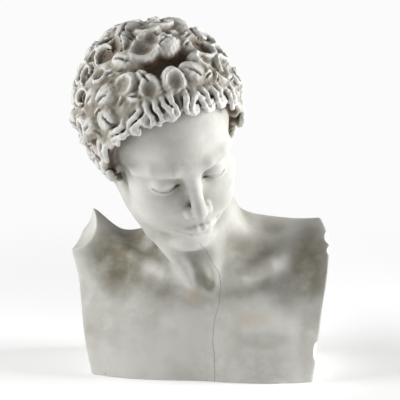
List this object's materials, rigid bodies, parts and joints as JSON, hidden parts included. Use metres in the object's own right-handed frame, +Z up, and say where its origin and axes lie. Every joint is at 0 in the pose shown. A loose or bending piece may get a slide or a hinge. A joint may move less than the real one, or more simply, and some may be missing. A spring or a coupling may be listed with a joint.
{
  "type": "plaster bust",
  "caption": "Plaster bust of a curly-haired youth with a lowered, turned head, cut off flat across the chest and sawn through both shoulders.",
  "frame": {"origin": "middle of the bust's box on the flat underside", "axes": "+Z up from the underside, the chest faces -Y, +X towards the figure's left shoulder"},
  "size_m": [0.3596, 0.3252, 0.4905],
  "materials": {
    "plaster": "matte"
  },
  "bodies": {
    "root": {"bust": "plaster"}
  },
  "joints": []
}
